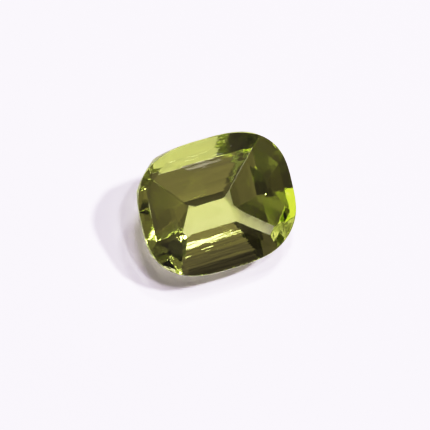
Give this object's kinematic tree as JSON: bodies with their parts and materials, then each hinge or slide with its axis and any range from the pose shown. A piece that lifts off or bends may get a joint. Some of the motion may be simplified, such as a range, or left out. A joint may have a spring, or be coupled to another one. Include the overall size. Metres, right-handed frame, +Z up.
{
  "type": "faceted gemstone",
  "caption": "Transparent yellow-green cushion step-cut apatite with a flat table, a shallow crown and a short keel, lying on one of its lower facets.",
  "frame": {"origin": "middle of the stone's bounding box at the level of the surface it lies on", "axes": "+X along the stone's long axis, towards its right end; +Y from the near side, which it leans on, to the far side; +Z up"},
  "size_m": [0.012, 0.0092, 0.0069],
  "materials": {
    "apatite": "polished transparent yellow-green crystal, IOR 1.636"
  },
  "bodies": {
    "root": {"stone": "apatite"}
  },
  "joints": []
}
